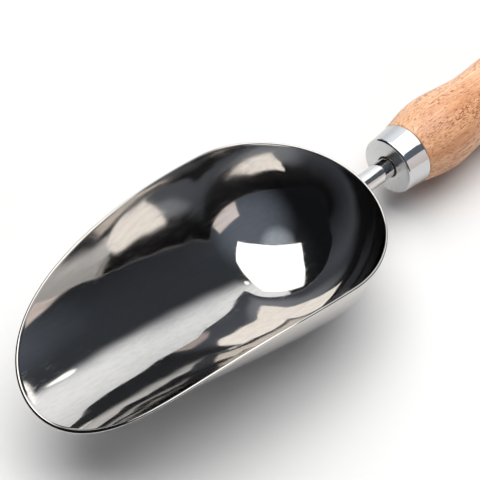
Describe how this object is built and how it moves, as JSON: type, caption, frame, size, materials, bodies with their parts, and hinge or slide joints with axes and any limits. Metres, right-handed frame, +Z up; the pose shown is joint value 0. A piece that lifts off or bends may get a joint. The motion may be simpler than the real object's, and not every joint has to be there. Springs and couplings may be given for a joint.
{
  "type": "hand scoop",
  "caption": "Hand scoop with a mirror-polished pressed steel bowl, welded rod neck, bright ferrule and turned wooden grip.",
  "frame": {"origin": "bottom centre of the bounding box, on the floor the scoop lies on", "axes": "+X from the handle's butt to the bowl's lip, +Z up out of the open bowl, +Y to the bowl's side"},
  "size_m": [0.3454, 0.0996, 0.0594],
  "materials": {
    "bowl_steel": "mirror-polished stainless steel with fine polishing lines",
    "rod_steel": "polished stainless steel bar",
    "weld_metal": "ground and polished weld",
    "ferrule_metal": "bright, with a satin front face",
    "handle_wood": "pale turned hardwood with short dark pores, satin oil",
    "resin": "cured brown resin"
  },
  "bodies": {
    "root": {"scoop_bowl": "bowl_steel", "neck_rod": "rod_steel", "weld_fillet": "weld_metal", "ferrule": "ferrule_metal", "handle": "handle_wood", "tang_adhesive": "resin"}
  },
  "joints": []
}
